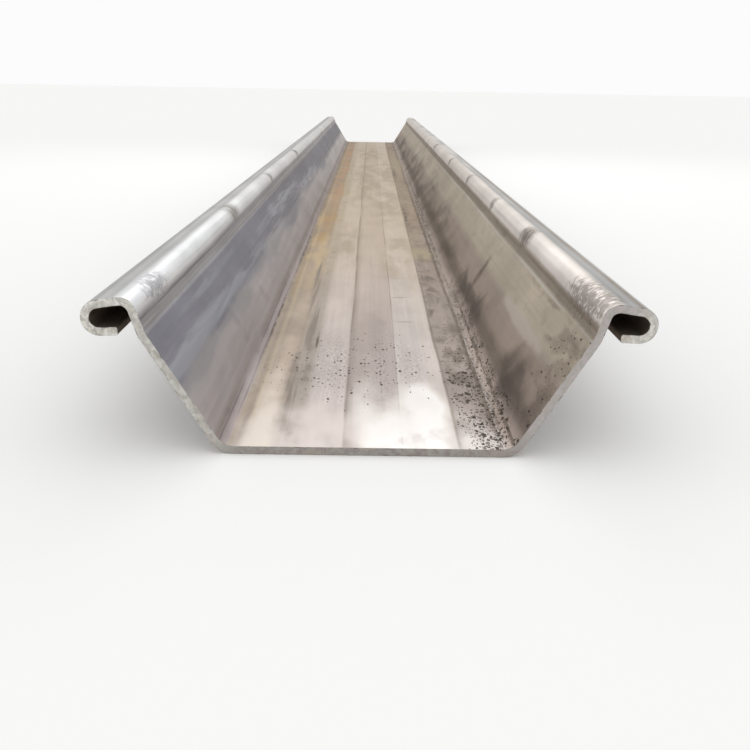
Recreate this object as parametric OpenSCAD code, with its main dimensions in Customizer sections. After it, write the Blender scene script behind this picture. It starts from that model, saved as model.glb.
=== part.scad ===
// U-section steel sheet pile, cold formed from one flat strip.
// The strip is drawn as a roll former bends it: a chain of flats and bends that starts at the
// middle of the pan and runs out over the web, the neck, the crown and the nose to the lip.
// The other half is its mirror image, and the whole section is drawn out to the pile's length.
// The pile lies on its pan, open side up, with its length along Y. Sizes are in millimetres.

/* [Stock] */
// Length of the pile
pile_l = 6000; // [1000:100:18000]
// Thickness of the strip
sheet_t = 10; // [6:0.5:12]

/* [Section] */
// Effective width, from interlock centre to interlock centre
effective_w = 600; // [500:5:750]
// Depth of the section, from the pan's underside to the top of the crown
section_h = 188; // [150:1:240]
// Angle of the bends between pan and webs, in degrees
pan_bend_angle = 58.46; // [52:0.01:64]
// Inside radius of the bends between pan and webs
pan_bend_r = 25; // [12:1:40]

/* [Interlock] */
// Angle of the knee, where the web steepens into the neck, in degrees
knee_bend_angle = 13.5; // [4:0.1:20]
// Inside radius of the knee
knee_bend_r = 20; // [10:1:40]
// Flat length of the neck, between knee and shoulder
neck_run = 26; // [15:0.5:45]
// Angle of the shoulder, where the neck turns over into the crown, in degrees
shoulder_bend_angle = 80.4; // [74:0.1:88]
// Inside radius of the shoulder
shoulder_bend_r = 10; // [8:0.5:16]
// Flat length of the crown, between shoulder and nose
crown_run = 24; // [18:0.5:40]
// Angle of the nose, where the crown turns under into the lip, in degrees
nose_bend_angle = 173.8; // [168:0.1:178]
// Inside radius of the nose, half the clear height of the hook
nose_bend_r = 11; // [8:0.5:15]
// Flat length of the lip, from nose to tip
lip_run = 20; // [10:0.5:24]
// Radius of the strip's rounded mill edge at the lip's tip
edge_r = 2.5; // [0.5:0.1:2.9]

/* [Hidden] */
$fn = 96;

// Slopes of the flats that follow from the bends, in degrees
neck_slope = pan_bend_angle + knee_bend_angle;
crown_fall = shoulder_bend_angle - neck_slope;
lip_rise = nose_bend_angle + crown_fall - 180;

// Centre of the shoulder bend, with X counted from that centre until the hook is placed
shoulder_z = section_h - shoulder_bend_r - sheet_t;

// Centre of the nose bend, one crown flat further out
nose_dx = crown_run * cos(crown_fall) + (shoulder_bend_r - nose_bend_r) * sin(crown_fall);
nose_z = shoulder_z - crown_run * sin(crown_fall)
    + (shoulder_bend_r - nose_bend_r) * cos(crown_fall);

// Middle of the lip's tip
lip_drop = nose_bend_r + sheet_t / 2;
tip_dx = nose_dx - lip_drop * sin(lip_rise) - lip_run * cos(lip_rise);
tip_z = nose_z - lip_drop * cos(lip_rise) + lip_run * sin(lip_rise);

// Top of the neck's flat, on the side that faces into the hook
neck_top_dx = -shoulder_bend_r * sin(neck_slope);
neck_top_z = shoulder_z + shoulder_bend_r * cos(neck_slope);

// The neck's face across from the lip's tip: the mouth lies between them
mouth_dx = neck_top_dx + (tip_z - neck_top_z) / tan(neck_slope);

// A like hook, turned over, hangs its nose in this mouth, and this nose in its own.
// The interlock centre is midway between the mouth and the nose.
interlock_dx = (nose_dx + nose_bend_r + sheet_t / 2 + (tip_dx + mouth_dx) / 2) / 2;
shoulder_x = effective_w / 2 - interlock_dx;

// Centre of the knee bend, one neck flat below the shoulder
knee_reach = sheet_t + knee_bend_r;
knee_x = shoulder_x + neck_top_dx - neck_run * cos(neck_slope) - knee_reach * sin(neck_slope);
knee_z = neck_top_z - neck_run * sin(neck_slope) + knee_reach * cos(neck_slope);

// Centre of the pan bend: the web's flat touches this bend and the knee
pan_reach = sheet_t + pan_bend_r;
web_dz = knee_z - pan_reach;
web_dx = (web_dz * cos(pan_bend_angle) - (knee_reach - pan_reach)) / sin(pan_bend_angle);
web_run = web_dx * cos(pan_bend_angle) + web_dz * sin(pan_bend_angle);
half_pan_run = knee_x - web_dx;

// A flat of the strip along +X, with what follows it as children
module flat_run(length) {
    square([length, sheet_t]);
    translate([length, 0]) children();
}

// The strip round a bend whose centre is the origin, from -Y turning left by less than a half turn
module bent_strip(inside_r, angle) {
    outside_r = inside_r + sheet_t;
    intersection() {
        difference() {
            circle(outside_r);
            circle(inside_r);
        }
        translate([0, -2 * outside_r]) square([2 * outside_r, 4 * outside_r]);
        rotate(angle) translate([-2 * outside_r, -2 * outside_r])
            square([2 * outside_r, 4 * outside_r]);
    }
}

// A bend to the left, towards the open side of the pile
module bend_up(inside_r, angle) {
    reach = inside_r + sheet_t;
    translate([0, reach]) {
        bent_strip(inside_r, angle);
        rotate(angle) translate([0, -reach]) children();
    }
}

// A bend to the right, away from the open side
module bend_down(inside_r, angle) {
    translate([0, -inside_r]) {
        mirror([0, 1]) bent_strip(inside_r, angle);
        rotate(-angle) translate([0, inside_r]) children();
    }
}

// The strip's free edge, rounded as the rolling mill leaves it
module mill_edge() {
    square_h = sheet_t - 2 * edge_r;
    translate([0, edge_r]) square([edge_r, square_h]);
    for (side = [0, 1]) {
        translate([0, edge_r + side * square_h]) intersection() {
            circle(edge_r);
            translate([0, (side - 1) * 2 * edge_r]) square(2 * edge_r);
        }
    }
}

// The interlock from the neck outwards
module hook() {
    flat_run(neck_run)
        bend_down(shoulder_bend_r, shoulder_bend_angle)
        flat_run(crown_run)
        bend_down(nose_bend_r, nose_bend_angle)
        flat_run(lip_run - edge_r)
        mill_edge();
}

// Half of the section, from the middle of the pan to the lip
module half_section() {
    flat_run(half_pan_run)
        bend_up(pan_bend_r, pan_bend_angle)
        flat_run(web_run)
        bend_up(knee_bend_r, knee_bend_angle)
        hook();
}

module sheet_pile() {
    color([0.60, 0.58, 0.55])
        rotate([90, 0, 0])
        linear_extrude(height = pile_l, center = true) {
            half_section();
            mirror([1, 0]) half_section();
        }
}

sheet_pile();
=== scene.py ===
# Looks of a cold-formed steel sheet pile that lies on its pan with the trough up.
# The strip is swept through its flats and bends as a roll former shapes it, and drawn out to the
# pile's length.

import math

import bmesh
import bpy
from mathutils import Matrix, Vector


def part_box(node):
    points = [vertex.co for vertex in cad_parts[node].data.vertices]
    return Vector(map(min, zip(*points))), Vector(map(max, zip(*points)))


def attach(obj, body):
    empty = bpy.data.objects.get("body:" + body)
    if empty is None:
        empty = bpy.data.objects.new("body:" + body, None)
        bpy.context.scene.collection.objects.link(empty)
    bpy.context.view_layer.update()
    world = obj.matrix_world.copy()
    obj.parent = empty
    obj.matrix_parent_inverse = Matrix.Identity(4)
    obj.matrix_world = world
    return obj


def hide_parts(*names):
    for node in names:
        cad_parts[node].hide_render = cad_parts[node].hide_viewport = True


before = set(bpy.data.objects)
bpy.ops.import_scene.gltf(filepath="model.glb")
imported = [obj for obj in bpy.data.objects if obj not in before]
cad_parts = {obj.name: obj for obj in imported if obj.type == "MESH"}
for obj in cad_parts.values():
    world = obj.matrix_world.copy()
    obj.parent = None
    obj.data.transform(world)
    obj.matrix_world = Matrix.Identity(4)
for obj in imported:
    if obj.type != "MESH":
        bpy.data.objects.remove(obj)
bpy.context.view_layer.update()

MM = 0.001

# Box of the pile in the frame
low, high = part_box("sheet_pile")
PILE_L = high.y - low.y
HALF_W = high.x
PILE_H = high.z

# Strip and bends: angles of the roll passes, and radii to the middle of the strip
SHEET_T = 10 * MM
PAN_BEND = math.radians(58.46)
PAN_R = 30 * MM
KNEE_BEND = math.radians(13.5)
KNEE_R = 25 * MM
SHOULDER_BEND = math.radians(80.4)
SHOULDER_R = 15 * MM
NOSE_BEND = math.radians(173.8)
NOSE_R = 16 * MM
NECK_RUN = 26 * MM
CROWN_RUN = 24 * MM
LIP_RUN = 20 * MM
EDGE_R = 2.5 * MM

# The web's and the pan's flats fill what the bends leave of the pile's height and width
NECK_SLOPE = PAN_BEND + KNEE_BEND
CROWN_SLOPE = NECK_SLOPE - SHOULDER_BEND
NECK_TOP_Z = PILE_H - SHEET_T / 2 - SHOULDER_R * (1 - math.cos(NECK_SLOPE))
WEB_TOP_Z = NECK_TOP_Z - NECK_RUN * math.sin(NECK_SLOPE) \
    - KNEE_R * (math.cos(PAN_BEND) - math.cos(NECK_SLOPE))
WEB_FOOT_Z = SHEET_T / 2 + PAN_R * (1 - math.cos(PAN_BEND))
WEB_RUN = (WEB_TOP_Z - WEB_FOOT_Z) / math.sin(PAN_BEND)
NOSE_X = HALF_W - SHEET_T / 2 - NOSE_R
SHOULDER_X = NOSE_X - CROWN_RUN * math.cos(CROWN_SLOPE) \
    + (SHOULDER_R - NOSE_R) * math.sin(CROWN_SLOPE)
NECK_FOOT_X = SHOULDER_X - SHOULDER_R * math.sin(NECK_SLOPE) - NECK_RUN * math.cos(NECK_SLOPE)
WEB_TOP_X = NECK_FOOT_X - KNEE_R * (math.sin(NECK_SLOPE) - math.sin(PAN_BEND))
PAN_RUN = WEB_TOP_X - WEB_RUN * math.cos(PAN_BEND) - PAN_R * math.sin(PAN_BEND)

# Half the section, from the middle of the pan to the lip: length, turn and mesh columns of each
# stretch. A turn above zero bends the strip up.
STRETCHES = [
    (PAN_RUN, 0, 10),
    (PAN_R * PAN_BEND, PAN_BEND, 10),
    (WEB_RUN, 0, 9),
    (KNEE_R * KNEE_BEND, KNEE_BEND, 3),
    (NECK_RUN, 0, 2),
    (SHOULDER_R * SHOULDER_BEND, -SHOULDER_BEND, 12),
    (CROWN_RUN, 0, 2),
    (NOSE_R * NOSE_BEND, -NOSE_BEND, 20),
    (LIP_RUN, 0, 3),
]
HALF_GIRTH = sum(length for length, turn, columns in STRETCHES)

# Mesh: rows along the pile, the dressed edge of the cuts, segments of the rounded edges, the
# distance within which the two halves weld, and the angle from which an edge is sharp
ROWS = 120
CUT_BEVEL = 0.7 * MM
CUT_SEGMENTS = 2
LIP_SEGMENTS = 5
WELD = 0.001 * MM
CREASE = math.radians(20)

# Places of the finishes in the mesh's list, and how far a cut's normal leans along the pile at least
TROUGH_SKIN, BACK_SKIN, CUT_END = range(3)
CUT_FACING = 0.5

# Flat map of the strip: its name, the share of its height that each cut end takes, and the share
# of that which stays free on either side
BAKE_MAP = "OFBake"
CUT_STRIP = 0.02
CUT_MARGIN = 0.2


def linear(colour):
    """An sRGB hex colour as linear RGBA."""
    parts = [int(colour[i:i + 2], 16) / 255 for i in (1, 3, 5)]
    return (*[c / 12.92 if c <= 0.04045 else ((c + 0.055) / 1.055) ** 2.4 for c in parts], 1.0)


def add_node(tree, kind, inputs=None, stops=None, **settings):
    """One shader node: its settings, the values or sockets on its inputs, and a ramp's stops."""
    node = tree.nodes.new(kind)
    for name, value in settings.items():
        setattr(node, name, value)
    for socket, value in (inputs or {}).items():
        if isinstance(value, bpy.types.NodeSocket):
            tree.links.new(value, node.inputs[socket])
        else:
            node.inputs[socket].default_value = value
    if stops:
        elements = node.color_ramp.elements
        while len(elements) < len(stops):
            elements.new(1.0)
        for element, (position, colour) in zip(elements, stops):
            element.position = position
            element.color = colour
    return node


def roll_half(bm, girth, skin):
    """Sweeps the strip's thickness from the middle of the pan to the lip."""
    under = bm.verts.new((0, low.y, 0))
    over = bm.verts.new((0, low.y, SHEET_T))
    under[skin] = -1
    over[skin] = 1
    front = bm.edges.new((under, over))
    place = Vector((0, low.y, SHEET_T / 2))
    slope = 0.0
    rolled = 0.0
    for length, turn, columns in STRETCHES:
        for column in range(columns):
            ahead = Vector((math.cos(slope), 0, math.sin(slope)))
            aside = Vector((-math.sin(slope), 0, math.cos(slope)))
            centre = place + aside * (length / turn if turn else 0)
            step = Vector() if turn else ahead * length / columns
            swept = bmesh.ops.spin(bm, geom=[*front.verts, front], cent=centre, axis=(0, 1, 0),
                                   dvec=step, angle=-turn / columns, steps=1)
            front = next(g for g in swept["geom_last"] if isinstance(g, bmesh.types.BMEdge))
            rolled += length / columns
            slope += turn / columns
            place = (front.verts[0].co + front.verts[1].co) / 2
            for vert in front.verts:
                vert[girth] = rolled


def unroll(bm, girth, skin):
    """Lays the strip flat on its map: both faces and lip edges side by side over the whole
    width, and the two cut ends as thin strips below and above them."""
    layout = bm.loops.layers.uv.new(BAKE_MAP)
    once_round = 4 * HALF_GIRTH + 2 * SHEET_T
    for face in bm.faces:
        sides = {vert[skin] for vert in face.verts}
        for loop in face.loops:
            across = loop.vert[girth]
            depth = (1 - loop.vert[skin]) / 2
            up = (loop.vert.co.y - low.y) / PILE_L
            if face.material_index == CUT_END:
                place = (across + HALF_GIRTH) / (2 * HALF_GIRTH)
                up = CUT_STRIP * (CUT_MARGIN + (1 - 2 * CUT_MARGIN) * depth) + up * (1 - CUT_STRIP)
            else:
                if len(sides) == 2:
                    across += math.copysign(SHEET_T * depth, across)
                elif depth == 1:
                    across = 2 * HALF_GIRTH + SHEET_T - across
                place = (across + HALF_GIRTH + SHEET_T) / once_round
                up = CUT_STRIP + up * (1 - 2 * CUT_STRIP)
            loop[layout].uv = (place, up)


def make_pile_strip(finishes):
    """The whole strip as one closed mesh. Each point keeps its distance from the pan's middle as
    girth, and its side of the strip as skin: 1 in the trough and -1 on the back."""
    bm = bmesh.new()
    girth = bm.verts.layers.float.new("girth")
    skin = bm.verts.layers.float.new("skin")
    roll_half(bm, girth, skin)
    bmesh.ops.mirror(bm, geom=[*bm.verts, *bm.edges, *bm.faces], matrix=Matrix.Identity(4),
                     merge_dist=WELD, axis="X")
    for vert in bm.verts:
        vert[girth] = math.copysign(vert[girth], vert.co.x)

    drawn = bmesh.ops.extrude_face_region(bm, geom=bm.faces[:])
    far_end = [g for g in drawn["geom"] if isinstance(g, bmesh.types.BMVert)]
    bmesh.ops.translate(bm, vec=(0, PILE_L, 0), verts=far_end)
    bmesh.ops.recalc_face_normals(bm, faces=bm.faces[:])
    for face in bm.faces:
        side = sum(vert[skin] for vert in face.verts)
        if abs(face.normal.y) > CUT_FACING:
            face.material_index = CUT_END
        else:
            face.material_index = TROUGH_SKIN if side > 0 else BACK_SKIN
    unroll(bm, girth, skin)

    lip_edges = [e for e in bm.edges
                 if e.calc_length() > PILE_L / 2 and abs(e.verts[0][girth]) > HALF_GIRTH - WELD]
    bmesh.ops.bevel(bm, geom=lip_edges, offset=EDGE_R, offset_type="OFFSET", segments=LIP_SEGMENTS,
                    profile=0.5, material=-1, affect="EDGES")
    long_edges = [e for e in bm.edges if e.calc_length() > PILE_L / 2]
    bmesh.ops.subdivide_edges(bm, edges=long_edges, cuts=ROWS - 1, use_grid_fill=True)
    cut_edges = [e for e in bm.edges
                 if any(f.material_index == CUT_END for f in e.link_faces)
                 and any(f.material_index != CUT_END for f in e.link_faces)]
    bmesh.ops.bevel(bm, geom=cut_edges, offset=CUT_BEVEL, offset_type="OFFSET", segments=CUT_SEGMENTS,
                    profile=0.5, material=-1, affect="EDGES")

    for face in bm.faces:
        face.smooth = True
    mesh = bpy.data.meshes.new("pile_strip")
    bm.to_mesh(mesh)
    bm.free()
    mesh.set_sharp_from_angle(angle=CREASE)
    for finish in finishes:
        mesh.materials.append(finish)
    strip = bpy.data.objects.new("pile_strip", mesh)
    bpy.context.scene.collection.objects.link(strip)
    return strip


def new_finish(name):
    """An empty node material with a Principled BSDF on its output."""
    finish = bpy.data.materials.new(name)
    finish.use_nodes = True
    tree = finish.node_tree
    tree.nodes.clear()
    shader = add_node(tree, "ShaderNodeBsdfPrincipled")
    add_node(tree, "ShaderNodeOutputMaterial", {"Surface": shader.outputs[0]})
    return finish, tree, shader


# Finishes that the rolls and the weather left on the strip: colour, and how much soil clings to it
BLUE_SCALE = ("#8f8f99", 0.25)
WARM_SCALE = ("#cbc6c9", 0.05)
PLUM_SCALE = ("#aea3a2", 0.3)
OCHRE_FILM = ("#a2968a", 0.5)
TAN_FILM = ("#afa194", 0.25)
GREY_FILM = ("#aaa199", 0.35)
PALE_STEEL = ("#c4bab6", 0.08)
TAUPE_FILM = ("#bbb0ac", 0.12)
TAUPE_SHADE = ("#a0958f", 0.2)
CREAM_STEEL = ("#cac2bf", 0.08)
WHITE_STEEL = ("#c9c0bb", 0.1)
BROWN_FILM = ("#a59a94", 0.6)
MUD_FILM = ("#bcada4", 0.5)
DARK_FILM = ("#8c8076", 0.5)
DULL_TAUPE = ("#ad9e93", 0.25)
OLIVE_SCALE = ("#c0b5a4", 0.3)
NECK_BLUE = ("#b0b0b5", 0.25)
NECK_BROWN = ("#a3988b", 0.5)
CROWN_GREY = ("#b6b7b8", 0.15)
LEFT_CROWN = ("#c4c5c7", 0.1)
CROWN_LIGHT = ("#cdcecf", 0.1)
# The shoulders' near-white finishes: steel polished by the rolls, with a painted highlight on it
LEFT_POLISH_AND_HIGHLIGHT = ("#f4f6f9", 0.05)
RIGHT_POLISH_AND_HIGHLIGHT = ("#f1ebe6", 0.1)
LINE_DARK = ("#8c8178", 0.5)
LINE_LIGHT = ("#b7aa98", 0.2)
COIL_SCALE = ("#918f8f", 0.5)
COIL_BROWN = ("#978c83", 0.7)
COIL_TAUPE = ("#aca299", 0.4)

# Films and dirt that lie on those finishes, and the steel's tint at a grazing angle
OIL_BROWN = "#5d544d"
DRAG_GREY = "#8c827a"
SPECK_BLACK = "#3b342f"
SAND_BROWN = "#83776f"
PAN_FILM = "#fbefdb"
BEIGE_RUST = "#dccdb6"
WEB_FILM = "#e9e7e4"
GRAZING_TINT = "#d3d0cb"

# Bands along the strip: distance of their two edges from the middle of the pan, in
# millimetres, and their finish. Neighbours blend over the gap between them.
# On the left crown, the light and grey stripes from 391 to 412 millimetres are painted reflections
TROUGH_LEFT = [
    (0, 16, TAUPE_FILM), (27, 30, TAUPE_SHADE), (32, 74, PALE_STEEL), (88, 103, GREY_FILM),
    (112, 144, TAN_FILM), (147, 150, LINE_LIGHT), (154, 166, OCHRE_FILM), (171, 187, PLUM_SCALE),
    (196, 243, WARM_SCALE), (265, 331, BLUE_SCALE), (335, 355, NECK_BLUE), (362, 384, LEFT_POLISH_AND_HIGHLIGHT),
    (391, 396, LEFT_CROWN), (400, 404, CROWN_LIGHT), (410, 412, CROWN_GREY), (420, 478, CROWN_LIGHT),
]
TROUGH_RIGHT = [
    (0, 41, TAUPE_FILM), (43, 86, CREAM_STEEL), (88, 107, WHITE_STEEL), (109, 110, LINE_DARK),
    (112, 154, BROWN_FILM), (157, 161, DARK_FILM), (165, 167, BROWN_FILM), (171, 190, MUD_FILM),
    (199, 210, DARK_FILM), (226, 262, DULL_TAUPE), (280, 331, OLIVE_SCALE), (337, 351, NECK_BROWN),
    (357, 384, RIGHT_POLISH_AND_HIGHLIGHT), (390, 404, CROWN_GREY), (408, 409, NECK_BROWN), (413, 478, CROWN_LIGHT),
]
BACK = [
    (0, 60, COIL_SCALE), (75, 150, COIL_BROWN), (160, 188, COIL_TAUPE), (198, 270, COIL_SCALE),
    (285, 330, COIL_BROWN), (340, 478, DARK_FILM),
]

# Patterns of the rolled surface: width across the strip and length along it, in millimetres,
# octaves of finer detail, and how far the pattern is warped
PATTERNS = {
    "wander": (140, 600, 2, 0),
    "streaks": (13, 1500, 3, 0),
    "drags": (6, 240, 3, 0),
    "hairlines": (2, 500, 2, 0),
    "clouds": (95, 210, 4, 0),
    "stains": (60, 900, 4, 0.5),
    "mottle": (46, 200, 5, 0.3),
    "scratches": (11, 190, 5, 0.4),
    "grime": (20, 60, 5, 0.4),
    "smoke": (22, 420, 4, 0.25),
    "smears": (70, 100, 5, 0.3),
    "feather": (38, 75, 4, 0.8),
    "blots": (60, 300, 5, 0.5),
    "flecks": (7, 45, 3, 0.5),
    "rubs": (46, 6, 3, 0),
    "crush": (8, 8, 5, 0.5),
    "grit": (4, 9, 3, 0.3),
}

# How far the edges of what the rolls drew wander with each pattern, from side to side
WANDERS = [("wander", 6 * MM), ("drags", 2 * MM), ("hairlines", 1 * MM)]

# How far each pattern darkens and lightens the steel
TONES = [
    ("streaks", 0.96, 1.04), ("clouds", 0.9, 1.1), ("drags", 0.97, 1.03), ("hairlines", 0.98, 1.02),
    ("grime", 0.96, 1.04),
]

# Marks by layer: colour, how well they cover, how softly they fade, the pattern that breaks them
# up, and for each its place across and along the strip and its reach across and along, in
# millimetres, and its turn in degrees where it lies askew. Places left of the pan's middle are
# below zero.
TROUGH_MARKS = [
    # Thin dark and pale lines that the rolls drew along the pile
    ("#7d7277", 0.7, 1.0, "drags", [
        (-170, 1000, 2.5, 6000), (-181, 1000, 2.5, 5000), (-352, 200, 3, 900),
        (-262, 420, 1.8, 320)]),
    ("#8c8075", 0.7, 1.0, "drags", [
        (41, 2000, 1.5, 9000), (-29, 3500, 3.5, 7000), (347, 600, 4, 3500)]),
    ("#c9c7c6", 0.55, 1.0, "drags", [
        (-343, 2000, 2.5, 9000), (331, 600, 2.5, 3500), (163, 600, 2, 1500), (398, 2000, 3, 9000)]),
    # Warm and blue scale that reach into each other on the left web
    ("#beb8b9", 0.8, 1.4, "smoke", [
        (-262, 1150, 20, 420), (-258, 2300, 24, 800)]),
    ("#8d8d97", 0.8, 1.4, "smoke", [
        (-254, 100, 10, 260), (-246, 1550, 28, 500), (-250, 3300, 28, 900)]),
    ("#a6a8b2", 0.8, 0.8, "smoke", [(-280, 150, 20, 480)]),
    ("#b9b4b5", 0.75, 0.9, "clouds", [(-222, 330, 70, 380)]),
    # Pale scratches, darker clouds and grey patches on the left web's blue scale
    ("#b4b6be", 0.6, 1.2, "scratches", [
        (-284, 120, 20, 520), (-274, 620, 18, 520), (-268, 1150, 16, 500), (-300, 1500, 26, 900),
        (-276, 2400, 24, 1000), (-318, 420, 10, 420)]),
    ("#84858f", 0.6, 1.3, "smoke", [
        (-312, 700, 22, 900), (-318, 60, 16, 220), (-290, 3300, 40, 1200)]),
    ("#a9a8aa", 0.7, 1.2, "mottle", [
        (-252, 110, 28, 240), (-250, 500, 26, 240), (-248, 950, 28, 320)]),
    # Pale stripe on the right web
    ("#cabfb4", 0.9, 0.8, "clouds", [(270, 310, 15, 330)]),
    # Beige stains on the pan, and ochre and orange rust on its left, away from the near end
    ("#a08f78", 0.5, 1.1, "mottle", [
        (60, 2300, 90, 900), (-20, 3200, 120, 1500), (90, 3600, 80, 1200), (0, 4800, 130, 900),
        (70, 1300, 60, 600), (-60, 1500, 60, 500)]),
    ("#cfb891", 0.6, 1.1, "mottle", [(-124, 1250, 34, 520), (-152, 1800, 15, 1400)]),
    ("#b3925f", 0.7, 1.4, "mottle", [
        (-128, 1900, 48, 420), (-140, 1620, 32, 280), (-157, 1080, 6, 420)]),
    ("#bd946d", 0.65, 1.2, "mottle", [
        (-130, 4700, 42, 1700), (-124, 3500, 38, 1400), (-122, 2700, 36, 700)]),
    # Right crown, brighter towards the far end
    ("#f0eeeb", 0.6, 0.8, "wander", [(400, 4500, 24, 4200)]),
    # Olive stains along both sides of the pan
    ("#b0a384", 0.6, 1.0, "stains", [
        (-92, 3000, 30, 1800), (140, 4300, 40, 1200), (134, 1320, 46, 130)]),
    # Chatter of the rolls on the shoulders, and scuffs on them towards the near end
    ("#857f79", 1.0, 1.1, "rubs", [
        (-372, 800, 28, 80), (-372, 1500, 26, 45), (-372, 2400, 26, 60), (368, 565, 28, 75),
        (368, 1015, 26, 40), (368, 1550, 26, 40), (368, 2150, 26, 50), (368, 2900, 26, 60)]),
    ("#756a62", 0.65, 0.9, "crush", [(364, 95, 34, 130), (372, 40, 30, 70), (366, 560, 26, 60)]),
    ("#9c9ba3", 0.7, 0.9, "crush", [(-370, 115, 20, 85)]),
    # Oil and dirt smeared along the foot of the right web
    (OIL_BROWN, 0.75, 1.5, "feather", [
        (214, 190, 62, 150), (210, 600, 52, 170), (206, 810, 50, 190), (258, 738, 54, 26)]),
    ("#5a514a", 0.5, 0.9, "clouds", [
        (212, 560, 28, 120), (250, 735, 32, 30, 8), (210, 720, 20, 120), (218, 190, 46, 90)]),
    ("#5f554d", 0.75, 1.2, "blots", [
        (206, 1180, 46, 260), (226, 1560, 74, 170), (210, 1850, 50, 240), (228, 2150, 78, 190),
        (212, 2550, 56, 320), (228, 2950, 78, 260), (214, 3300, 56, 300), (230, 3550, 78, 280),
        (214, 4200, 60, 500), (230, 4950, 74, 420), (212, 5600, 60, 400)]),
    # Soft smears that carry the dirt up the right web, away from the near end
    ("#63574e", 0.6, 1.5, "smears", [
        (228, 1340, 64, 140), (236, 1720, 78, 170), (226, 2010, 62, 150), (238, 2330, 84, 210),
        (228, 2790, 66, 180), (240, 3130, 88, 220), (230, 3420, 70, 200), (238, 3980, 82, 280),
        (230, 4450, 72, 260), (238, 5150, 82, 320)]),
    # Grey drags on the left of the pan
    (DRAG_GREY, 0.9, 1.0, "drags", [
        (-108, 190, 11, 330), (-99, 560, 10, 280), (-113, 950, 10, 380)]),
    # Taupe haze and fine grit over the near part of the pan
    ("#a0958f", 0.65, 0.9, "clouds", [(8, 480, 54, 480), (-2, 340, 40, 170)]),
    ("#938986", 0.4, 1.5, "grit", [
        (20, 400, 32, 420), (-50, 360, 70, 280), (62, 340, 36, 180), (-108, 260, 26, 330)]),
    # Grime on the left and right of the pan
    (DRAG_GREY, 0.7, 1.2, "grime", [
        (-113, 230, 10, 300), (-98, 480, 10, 160), (-94, 290, 12, 80)]),
    ("#6d635a", 0.55, 1.1, "grime", [
        (122, 490, 14, 44), (117, 730, 8, 120), (130, 320, 26, 170), (150, 500, 10, 240),
        (128, 1000, 24, 420)]),
    # Dark lines that the rolls dragged along the pan and its bends
    ("#6a6058", 0.85, 1.0, "flecks", [
        (-85, 478, 3.5, 95), (-168, 590, 3.5, 320), (-167, 1300, 4, 500),
        (159, 350, 7, 800), (178, 350, 5, 700), (159, 1700, 9, 1500), (171, 2000, 7, 1700),
        (178, 2500, 6, 1500), (116, 2000, 8, 400), (118, 3500, 12, 400)]),
    # Thin marks across the pan and the webs
    ("#9d9287", 0.6, 1.1, "smears", [
        (66, 610, 30, 10, 3), (66, 810, 32, 10, -4), (66, 1000, 34, 11, 5), (66, 1205, 34, 12, -2),
        (66, 1905, 32, 16, 4), (60, 2100, 30, 18, -8), (95, 2620, 130, 14, 66)]),
    ("#8f8786", 0.35, 1.3, "grime", [
        (-228, 378, 50, 34), (-220, 662, 36, 34), (-228, 1825, 60, 40), (322, 290, 9, 20),
        (324, 490, 9, 20)]),
    # Warm haze on the left of the pan
    ("#c3b3a6", 0.55, 1.1, "clouds", [(-131, 520, 24, 420)]),
    # Pale patches on the pan at the near end: painted highlight
    ("#f0edeb", 0.95, 0.6, "clouds", [
        (74, 70, 38, 260), (34, 0, 58, 160)]),
    ("#e2dedb", 0.8, 1.0, "clouds", [(40, 120, 84, 260), (132, 0, 50, 180)]),
    ("#d1c8c3", 0.85, 0.8, "clouds", [(-90, 0, 110, 190)]),
    ("#e0d6cb", 0.75, 1.0, "clouds", [(-133, 20, 26, 380)]),
    # Brown dirt in the near right corner, and grime and a grey wash on the right web along the cut
    ("#7a6954", 0.15, 1.0, "grime", [(174, 110, 24, 420)]),
    ("#86796b", 0.55, 1.1, "grime", [
        (306, 80, 34, 160), (325, 300, 6, 220), (262, 30, 60, 120)]),
    ("#665d55", 0.6, 1.0, "smears", [(222, 90, 50, 160), (312, 20, 40, 110)]),
]

# Specks of dirt: colour, width and length of the cell that holds one at most, widest speck as a
# share of its cell, share of the cells that hold one where they lie thickest, how softly they thin
# out, and places and reaches as for the marks, in millimetres
TROUGH_SPECKS = [
    (SAND_BROWN, 4, 8, 0.8, 0.8, 0.7, [
        (152, 60, 46, 330), (160, 260, 46, 420), (176, 560, 30, 560), (136, 330, 28, 420)]),
    (SPECK_BLACK, 6, 13, 0.45, 0.5, 0.9, [(-20, 330, 180, 260), (10, 290, 60, 200)]),
    (SPECK_BLACK, 5, 9, 0.6, 0.85, 0.7, [
        (158, 30, 46, 280), (168, 160, 40, 420), (180, 460, 24, 460), (136, 180, 34, 280)]),
    (SPECK_BLACK, 8, 13, 0.7, 0.8, 0.8, [(162, 60, 44, 260), (140, 200, 30, 240)]),
    (SPECK_BLACK, 6, 13, 0.38, 0.7, 0.8, [(300, 30, 70, 120), (240, 30, 70, 110)]),
]

# Long brown stains on the back
BACK_MARKS = [
    ("#93765c", 0.6, 1.2, "stains", [
        (120, 900, 70, 700), (-90, 2600, 80, 900), (230, 4300, 60, 800), (-250, 5000, 60, 700),
        (-240, 1500, 70, 800)]),
]

# A noise pattern's values in its dark and in its light spots, how far those thin and thicken a mark,
# and the mask's value from which a mark of softness 1 shows
NOISE_DARK = 0.3
NOISE_LIGHT = 0.7
MARK_THINNED = 0.1
MARK_THICKENED = 2.0
MARK_STARTS = 0.05

# Specks: scale, octaves and reach of the noise that makes them ragged, in cells, the smallest one as
# a share of the widest, the width of their soft edge, and how well they cover
SPECK_RAG_SCALE = 2.0
SPECK_RAG_OCTAVES = 1.0
SPECK_RAG = 0.5
SPECK_SMALLEST = 0.25
SPECK_EDGE = 0.1
SPECK_COVER = 0.9

# Film away from the near end: where it sets in and is full along the pile, where the pan's rust
# ends and is full across the strip, the same for the beige rust on the pan's middle, and how well
# that one covers
FILM_STARTS = 250 * MM
FILM_FULL = 2200 * MM
PAN_FILM_ENDS = 175 * MM
PAN_FILM_FULL = 150 * MM
BEIGE_ENDS = 112 * MM
BEIGE_FULL = 100 * MM
BEIGE_COVER = 0.45

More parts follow.
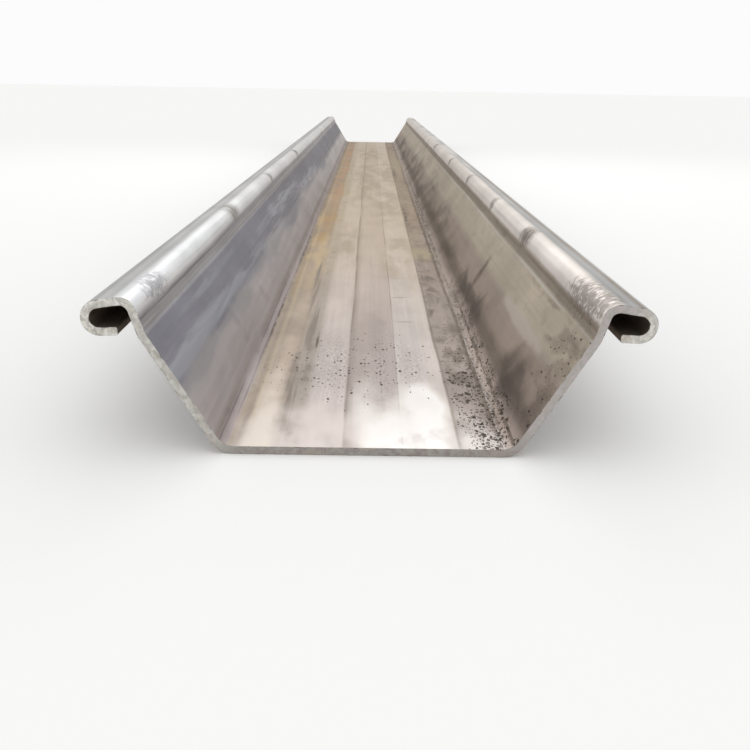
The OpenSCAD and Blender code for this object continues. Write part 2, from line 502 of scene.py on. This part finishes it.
# Grime on soiled finishes: the pattern's values at which it sets in and is full, and its cover
GRIME_STARTS = 0.45
GRIME_FULL = 0.8
GRIME_COVER = 0.7

# Gloss of the rolled skin: brightness and roughness of dark dirt and of bare steel, how far the drag
# lines change the roughness, how metallic the skin is, and the strength and height of its relief
DIRT_GREY = 0.15
STEEL_GREY = 0.6
DIRT_ROUGHNESS = 0.52
STEEL_ROUGHNESS = 0.36
DRAG_ROUGHNESS = 0.06
SKIN_METALLIC = 0.85
SKIN_RELIEF = 0.4
SKIN_RELIEF_H = 0.2 * MM


def read_strip(tree):
    """Distance across the strip from the pan's middle, distance from the near end, and both as
    one vector, in metres."""
    girth = add_node(tree, "ShaderNodeAttribute", attribute_name="girth").outputs["Fac"]
    place = add_node(tree, "ShaderNodeTexCoord").outputs["Object"]
    depth = add_node(tree, "ShaderNodeSeparateXYZ", {0: place}).outputs["Y"]
    along = add_node(tree, "ShaderNodeMath", {0: depth, 1: -low.y}).outputs[0]
    flow = add_node(tree, "ShaderNodeCombineXYZ", {"X": girth, "Y": along}).outputs[0]
    return girth, along, flow


def spread_patterns(tree, flow, patterns):
    """One noise socket for each pattern, stretched to its width and length."""
    grain = {}
    for name, (width, length, octaves, warp) in patterns.items():
        scaled = add_node(tree, "ShaderNodeMapping", {
            "Vector": flow, "Scale": (1 / (width * MM), 1 / (length * MM), 1)})
        noise = add_node(tree, "ShaderNodeTexNoise", {
            "Vector": scaled.outputs[0], "Scale": 1.0, "Detail": octaves, "Distortion": warp},
            noise_dimensions="2D")
        grain[name] = noise.outputs[0]
    return grain


def wander(tree, girth, grain):
    """Distance across the strip for what the rolls drew, whose edges wander a few millimetres."""
    place = girth
    for pattern, reach in WANDERS:
        shift = add_node(tree, "ShaderNodeMapRange", {
            "Value": grain[pattern], "To Min": -reach / 2, "To Max": reach / 2})
        place = add_node(tree, "ShaderNodeMath", {0: place, 1: shift.outputs[0]}).outputs[0]
    return place


def roll_bands(tree, girth, place, left, right):
    """Colour and soil of the bands, and the distance from the pan's middle to either side."""
    reach = add_node(tree, "ShaderNodeMath", {0: place}, operation="ABSOLUTE").outputs[0]
    share = add_node(tree, "ShaderNodeMath", {0: reach, 1: HALF_GIRTH}, operation="DIVIDE").outputs[0]
    ramps = []
    for bands in (left, right):
        stops = [(edge * MM / HALF_GIRTH, (*linear(tint)[:3], soil))
                 for start, end, (tint, soil) in bands for edge in (start, end)]
        ramps.append(add_node(tree, "ShaderNodeValToRGB", {"Fac": share}, stops=stops))
    side = add_node(tree, "ShaderNodeMath", {0: girth, 1: 0.0}, operation="GREATER_THAN").outputs[0]
    colour = add_node(tree, "ShaderNodeMix", {
        0: side, 6: ramps[0].outputs["Color"], 7: ramps[1].outputs["Color"]}, data_type="RGBA")
    soil = add_node(tree, "ShaderNodeMix", {
        0: side, 2: ramps[0].outputs["Alpha"], 3: ramps[1].outputs["Alpha"]})
    return colour.outputs[2], soil.outputs[0], reach


def tone_steel(tree, colour, grain):
    """The bands' colour, lighter and darker along the rolling direction."""
    tone = 1.0
    for pattern, dark, light in TONES:
        shade = add_node(tree, "ShaderNodeMapRange", {
            "Value": grain[pattern], "From Min": NOISE_DARK, "From Max": NOISE_LIGHT,
            "To Min": dark, "To Max": light})
        tone = add_node(tree, "ShaderNodeMath", {0: tone, 1: shade.outputs[0]},
                        operation="MULTIPLY").outputs[0]
    return add_node(tree, "ShaderNodeVectorMath", {0: colour, 3: tone}, operation="SCALE").outputs[0]


def lay_film(tree, colour, reach, along):
    """A thin film away from the near end: rust on the pan, beige on its middle, dust on the rest."""
    pan = add_node(tree, "ShaderNodeMapRange", {
        "Value": reach, "From Min": PAN_FILM_ENDS, "From Max": PAN_FILM_FULL},
        interpolation_type="SMOOTHSTEP")
    far = add_node(tree, "ShaderNodeMapRange", {
        "Value": along, "From Min": FILM_STARTS, "From Max": FILM_FULL},
        interpolation_type="SMOOTHSTEP")
    film = add_node(tree, "ShaderNodeMix", {
        0: pan.outputs[0], 6: linear(WEB_FILM), 7: linear(PAN_FILM)}, data_type="RGBA")
    colour = add_node(tree, "ShaderNodeMix", {0: far.outputs[0], 6: colour, 7: film.outputs[2]},
                      data_type="RGBA", blend_type="MULTIPLY").outputs[2]
    middle = add_node(tree, "ShaderNodeMapRange", {
        "Value": reach, "From Min": BEIGE_ENDS, "From Max": BEIGE_FULL, "To Max": BEIGE_COVER},
        interpolation_type="SMOOTHSTEP")
    beige = add_node(tree, "ShaderNodeMath", {0: far.outputs[0], 1: middle.outputs[0]},
                     operation="MULTIPLY")
    return add_node(tree, "ShaderNodeMix", {0: beige.outputs[0], 6: colour, 7: linear(BEIGE_RUST)},
                    data_type="RGBA").outputs[2]


def place_marks(tree, flow, ragged, cover, softness, marks):
    """A mask that fades from the middle of each mark to its reach, broken up by a pattern."""
    mask = None
    for across, up, reach_across, reach_along, *turn in marks:
        local = add_node(tree, "ShaderNodeMapping", {
            "Vector": flow, "Location": (across * MM, up * MM, 0),
            "Rotation": (0, 0, math.radians(-sum(turn))),
            "Scale": (reach_across * MM, reach_along * MM, 1)}, vector_type="TEXTURE")
        blot = add_node(tree, "ShaderNodeTexGradient", {"Vector": local.outputs[0]},
                        gradient_type="SPHERICAL").outputs[1]
        if mask:
            blot = add_node(tree, "ShaderNodeMath", {0: mask, 1: blot}, operation="MAXIMUM").outputs[0]
        mask = blot
    broken = add_node(tree, "ShaderNodeMapRange", {
        "Value": ragged, "From Min": NOISE_DARK, "From Max": NOISE_LIGHT,
        "To Min": MARK_THINNED, "To Max": MARK_THICKENED})
    mask = add_node(tree, "ShaderNodeMath", {0: mask, 1: broken.outputs[0]}, operation="MULTIPLY")
    mask = add_node(tree, "ShaderNodeMapRange", {
        "Value": mask.outputs[0], "From Min": MARK_STARTS / softness, "From Max": softness,
        "To Max": cover}, interpolation_type="SMOOTHSTEP")
    return mask.outputs[0]


def scatter_specks(tree, flow, width, length, widest, density):
    """Ragged specks, at most one to a cell of this size. Density is the share of cells with one."""
    scaled = add_node(tree, "ShaderNodeMapping", {
        "Vector": flow, "Scale": (1 / (width * MM), 1 / (length * MM), 1)}).outputs[0]
    ragged = add_node(tree, "ShaderNodeTexNoise", {
        "Vector": scaled, "Scale": SPECK_RAG_SCALE, "Detail": SPECK_RAG_OCTAVES},
        noise_dimensions="2D")
    shift = add_node(tree, "ShaderNodeVectorMath", {0: ragged.outputs["Color"], 3: SPECK_RAG},
                     operation="SCALE")
    warped = add_node(tree, "ShaderNodeVectorMath", {0: scaled, 1: shift.outputs[0]})
    cells = add_node(tree, "ShaderNodeTexVoronoi", {"Vector": warped.outputs[0], "Scale": 1.0},
                     voronoi_dimensions="2D")
    draw = add_node(tree, "ShaderNodeSeparateColor", {0: cells.outputs["Color"]})
    there = add_node(tree, "ShaderNodeMath", {0: draw.outputs[0], 1: density}, operation="LESS_THAN")
    size = add_node(tree, "ShaderNodeMath", {0: draw.outputs[1], 1: draw.outputs[2]},
                    operation="MULTIPLY")
    size = add_node(tree, "ShaderNodeMapRange", {
        "Value": size.outputs[0], "To Min": widest * SPECK_SMALLEST, "To Max": widest})
    spot = add_node(tree, "ShaderNodeMath", {0: size.outputs[0], 1: cells.outputs["Distance"]},
                    operation="SUBTRACT")
    spot = add_node(tree, "ShaderNodeMapRange", {
        "Value": spot.outputs[0], "From Max": SPECK_EDGE, "To Max": SPECK_COVER})
    specks = add_node(tree, "ShaderNodeMath", {0: there.outputs[0], 1: spot.outputs[0]},
                      operation="MULTIPLY")
    return specks.outputs[0]


def cling_grime(tree, grain, soil):
    """A mask of the grime that clings to the soiled bands."""
    grime = add_node(tree, "ShaderNodeMapRange", {
        "Value": grain["grime"], "From Min": GRIME_STARTS, "From Max": GRIME_FULL,
        "To Max": GRIME_COVER}, interpolation_type="SMOOTHSTEP")
    return add_node(tree, "ShaderNodeMath", {0: grime.outputs[0], 1: soil},
                    operation="MULTIPLY").outputs[0]


def set_skin_gloss(tree, shader, colour, grain):
    """Gloss that follows the colour, from dull dirt to polished steel, over a shallow rolled relief."""
    grey = add_node(tree, "ShaderNodeRGBToBW", {0: colour})
    dull = add_node(tree, "ShaderNodeMapRange", {
        "Value": grey.outputs[0], "From Min": DIRT_GREY, "From Max": STEEL_GREY,
        "To Min": DIRT_ROUGHNESS, "To Max": STEEL_ROUGHNESS})
    rough = add_node(tree, "ShaderNodeMapRange", {
        "Value": grain["drags"], "To Min": -DRAG_ROUGHNESS, "To Max": DRAG_ROUGHNESS})
    rough = add_node(tree, "ShaderNodeMath", {0: dull.outputs[0], 1: rough.outputs[0]})
    tree.links.new(rough.outputs[0], shader.inputs["Roughness"])
    shader.inputs["Metallic"].default_value = SKIN_METALLIC
    shader.inputs["Specular Tint"].default_value = linear(GRAZING_TINT)
    relief = add_node(tree, "ShaderNodeMath", {0: grain["streaks"], 1: grain["clouds"]})
    bump = add_node(tree, "ShaderNodeBump", {
        "Height": relief.outputs[0], "Strength": SKIN_RELIEF, "Distance": SKIN_RELIEF_H})
    tree.links.new(bump.outputs[0], shader.inputs["Normal"])


def make_rolled_finish(name, left, right, marks, specks):
    """Hot-rolled strip after roll forming: thin blue-grey mill scale that the rolls polished to
    bare steel in long bands, with a beige film of rust on the pan and dirt near the end. The
    palest bands on the shoulders and the pale patches at the near end carry painted highlight."""
    finish, tree, shader = new_finish(name)
    girth, along, flow = read_strip(tree)
    grain = spread_patterns(tree, flow, PATTERNS)
    place = wander(tree, girth, grain)
    colour, soil, reach = roll_bands(tree, girth, place, left, right)
    colour = tone_steel(tree, colour, grain)
    colour = lay_film(tree, colour, reach, along)

    # What lies on the steel, from the lowest layer to the topmost
    drawn = add_node(tree, "ShaderNodeCombineXYZ", {"X": place, "Y": along}).outputs[0]
    layers = [(cling_grime(tree, grain, soil), OIL_BROWN)]
    for tint, cover, softness, pattern, places in marks:
        layers.append((place_marks(tree, drawn, grain[pattern], cover, softness, places), tint))
    for tint, width, length, widest, share, softness, places in specks:
        density = place_marks(tree, flow, grain["grime"], share, softness, places)
        layers.append((scatter_specks(tree, flow, width, length, widest, density), tint))
    for mask, tint in layers:
        colour = add_node(tree, "ShaderNodeMix", {0: mask, 6: colour, 7: linear(tint)},
                          data_type="RGBA").outputs[2]
    tree.links.new(colour, shader.inputs["Base Color"])
    set_skin_gloss(tree, shader, colour, grain)
    return finish


# Patterns of the cut end: width along the strip and length across its thickness, in millimetres,
# octaves and warp
CUT_PATTERNS = {
    "drag_lines": (1.5, 18, 2, 0),
    "blotches": (7, 6, 4, 0.5),
    "rust": (45, 20, 3, 0),
    "nicks": (9, 4, 3, 0),
}

# Cut from the left lip to the right one, as for the bands. It is darkest along the pan, in painted shade.
CUT_BRIGHT = "#dfddd5"
CUT_CLEAN = "#c9c7c1"
# Painted shade: the cut's colour along the pan, darker than at the hooks
CUT_PAN_SHADE = "#8c827f"
CUT_DUSTY = "#b3abaa"
CUT_BANDS = [
    (-478, -380, CUT_BRIGHT), (-330, -200, CUT_CLEAN), (-150, 160, CUT_PAN_SHADE), (210, 390, CUT_DUSTY),
    (440, 478, CUT_BRIGHT),
]

# Marks all over the cut: pattern, its values at which the mark sets in and is full, cover and colour
CUT_MARKS = [
    ("blotches", 0.35, 0.7, 0.9, "#a5a29b"),
    ("drag_lines", 0.5, 0.75, 0.5, "#a6a39d"),
    ("rust", 0.5, 0.75, 0.5, "#ab9f92"),
]

# Burr along the cut's edges, with painted shade in its nicks: where it sets in and is full, as
# nearness to the edge plus the nicks' noise, its cover and its colour
BURR_STARTS = 1.38
BURR_FULL = 1.6
BURR_COVER = 0.85
BURR_AND_NICK_SHADE = "#4b453f"

# Gloss of the cut: roughness off and on its blotches, how metallic it is, and the strength and height
# of its relief
CUT_SMOOTHEST = 0.45
CUT_ROUGHEST = 0.75
CUT_METALLIC = 0.3
CUT_RELIEF = 0.5
CUT_RELIEF_H = 0.4 * MM


def make_cut_finish():
    """Flame-cut end of the strip, dressed with a grinder: pale matte steel with drag lines across
    its thickness, dull blotches and a dark ragged burr along its edges, with painted shade in its
    nicks."""
    finish, tree, shader = new_finish("cut_steel_end")
    girth = add_node(tree, "ShaderNodeAttribute", attribute_name="girth").outputs["Fac"]
    skin = add_node(tree, "ShaderNodeAttribute", attribute_name="skin").outputs["Fac"]
    across = add_node(tree, "ShaderNodeMath", {0: skin, 1: SHEET_T / 2}, operation="MULTIPLY").outputs[0]
    flow = add_node(tree, "ShaderNodeCombineXYZ", {"X": girth, "Y": across}).outputs[0]
    grain = spread_patterns(tree, flow, CUT_PATTERNS)

    share = add_node(tree, "ShaderNodeMapRange", {
        "Value": girth, "From Min": -HALF_GIRTH, "From Max": HALF_GIRTH}).outputs[0]
    stops = [(0.5 + edge * MM / HALF_GIRTH / 2, linear(tint))
             for start, end, tint in CUT_BANDS for edge in (start, end)]
    colour = add_node(tree, "ShaderNodeValToRGB", {"Fac": share}, stops=stops).outputs["Color"]
    for pattern, starts, full, cover, tint in CUT_MARKS:
        mask = add_node(tree, "ShaderNodeMapRange", {
            "Value": grain[pattern], "From Min": starts, "From Max": full, "To Max": cover})
        colour = add_node(tree, "ShaderNodeMix", {0: mask.outputs[0], 6: colour, 7: linear(tint)},
                          data_type="RGBA").outputs[2]
    rim = add_node(tree, "ShaderNodeMath", {0: skin}, operation="ABSOLUTE")
    burr_and_shade = add_node(tree, "ShaderNodeMath", {0: rim.outputs[0], 1: grain["nicks"]})
    burr_and_shade = add_node(tree, "ShaderNodeMapRange", {
        "Value": burr_and_shade.outputs[0], "From Min": BURR_STARTS, "From Max": BURR_FULL,
        "To Max": BURR_COVER}, interpolation_type="SMOOTHSTEP")
    colour = add_node(tree, "ShaderNodeMix", {0: burr_and_shade.outputs[0], 6: colour, 7: linear(BURR_AND_NICK_SHADE)},
                      data_type="RGBA").outputs[2]
    tree.links.new(colour, shader.inputs["Base Color"])

    shader.inputs["Metallic"].default_value = CUT_METALLIC
    rough = add_node(tree, "ShaderNodeMapRange", {
        "Value": grain["blotches"], "To Min": CUT_SMOOTHEST, "To Max": CUT_ROUGHEST})
    tree.links.new(rough.outputs[0], shader.inputs["Roughness"])
    relief = add_node(tree, "ShaderNodeMath", {0: grain["drag_lines"], 1: grain["nicks"]})
    bump = add_node(tree, "ShaderNodeBump", {
        "Height": relief.outputs[0], "Strength": CUT_RELIEF, "Distance": CUT_RELIEF_H})
    tree.links.new(bump.outputs[0], shader.inputs["Normal"])
    return finish


# Studio: the floor's reach in metres, its colour and roughness, and the sky as it lights and is seen
FLOOR_REACH = 60
FLOOR_WHITE = "#fafaf9"
FLOOR_ROUGHNESS = 0.9
SKY_LIGHT = "#fbfbfb"
SKY_SEEN = "#fcfcfc"

# One lamp over the far half of the pile, turned to the near end: place, aim and size in metres, and
# power in watts
SOFTBOX_PLACE = Vector((0.2, low.y + 4.4, 2.65))
SOFTBOX_AIM = Vector((0.0, low.y, 0.0))
SOFTBOX_SIZE = (2.2, 0.9)
SOFTBOX_POWER = 15

# The camera, from the photograph: it stands before the near end and looks along the trough
LENS = 44.28
SENSOR = 36.0
CAMERA_PLACE = Vector((-3.5 * MM, low.y - 1015.5 * MM, 421.3 * MM))
CAMERA_PITCH = math.radians(17.52)
CAMERA_YAW = math.radians(0.57)
CAMERA_ROLL = math.radians(1.02)


def make_floor():
    """A pale floor under the pile."""
    bm = bmesh.new()
    bmesh.ops.create_grid(bm, x_segments=1, y_segments=1, size=FLOOR_REACH)
    mesh = bpy.data.meshes.new("floor")
    bm.to_mesh(mesh)
    bm.free()
    finish, tree, shader = new_finish("pale_floor")
    shader.inputs["Base Color"].default_value = linear(FLOOR_WHITE)
    shader.inputs["Roughness"].default_value = FLOOR_ROUGHNESS
    mesh.materials.append(finish)
    floor = bpy.data.objects.new("floor", mesh)
    bpy.context.scene.collection.objects.link(floor)


def make_sky():
    """Soft light all round, a little below white, and a shade paler as the camera and the steel see it."""
    world = bpy.data.worlds.new("overcast")
    bpy.context.scene.world = world
    world.use_nodes = True
    tree = world.node_tree
    tree.nodes.clear()
    path = add_node(tree, "ShaderNodeLightPath")
    seen = path.outputs["Is Camera Ray"]
    for ray in ("Is Glossy Ray", "Is Transmission Ray"):
        seen = add_node(tree, "ShaderNodeMath", {0: seen, 1: path.outputs[ray]},
                        use_clamp=True).outputs[0]
    white = add_node(tree, "ShaderNodeMix", {0: seen, 6: linear(SKY_LIGHT), 7: linear(SKY_SEEN)},
                     data_type="RGBA")
    light = add_node(tree, "ShaderNodeBackground", {"Color": white.outputs[2], "Strength": 1.0})
    add_node(tree, "ShaderNodeOutputWorld", {"Surface": light.outputs[0]})


def make_softbox():
    """One rectangular studio lamp."""
    lamp = bpy.data.lights.new("softbox", "AREA")
    lamp.shape = "RECTANGLE"
    lamp.size, lamp.size_y = SOFTBOX_SIZE
    lamp.energy = SOFTBOX_POWER
    softbox = bpy.data.objects.new("softbox", lamp)
    softbox.location = SOFTBOX_PLACE
    softbox.rotation_euler = (SOFTBOX_AIM - SOFTBOX_PLACE).to_track_quat("-Z", "Y").to_euler()
    bpy.context.scene.collection.objects.link(softbox)


def make_camera():
    """The photograph's view along the trough."""
    camera = bpy.data.objects.new("camera", bpy.data.cameras.new("camera"))
    camera.data.lens = LENS
    camera.data.sensor_width = SENSOR
    camera.location = CAMERA_PLACE
    turn = Matrix.Rotation(-CAMERA_YAW, 4, "Z") @ Matrix.Rotation(math.pi / 2 - CAMERA_PITCH, 4, "X")
    camera.rotation_euler = (turn @ Matrix.Rotation(CAMERA_ROLL, 4, "Z")).to_euler()
    bpy.context.scene.collection.objects.link(camera)
    bpy.context.scene.camera = camera


make_camera()
make_floor()
make_sky()
make_softbox()
pile = make_pile_strip([
    make_rolled_finish("mill_scaled_steel", TROUGH_LEFT, TROUGH_RIGHT, TROUGH_MARKS, TROUGH_SPECKS),
    make_rolled_finish("mill_scaled_back", BACK, BACK, BACK_MARKS, []),
    make_cut_finish(),
])
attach(pile, "root")
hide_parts("sheet_pile")
bpy.context.scene.view_settings.view_transform = "Standard"
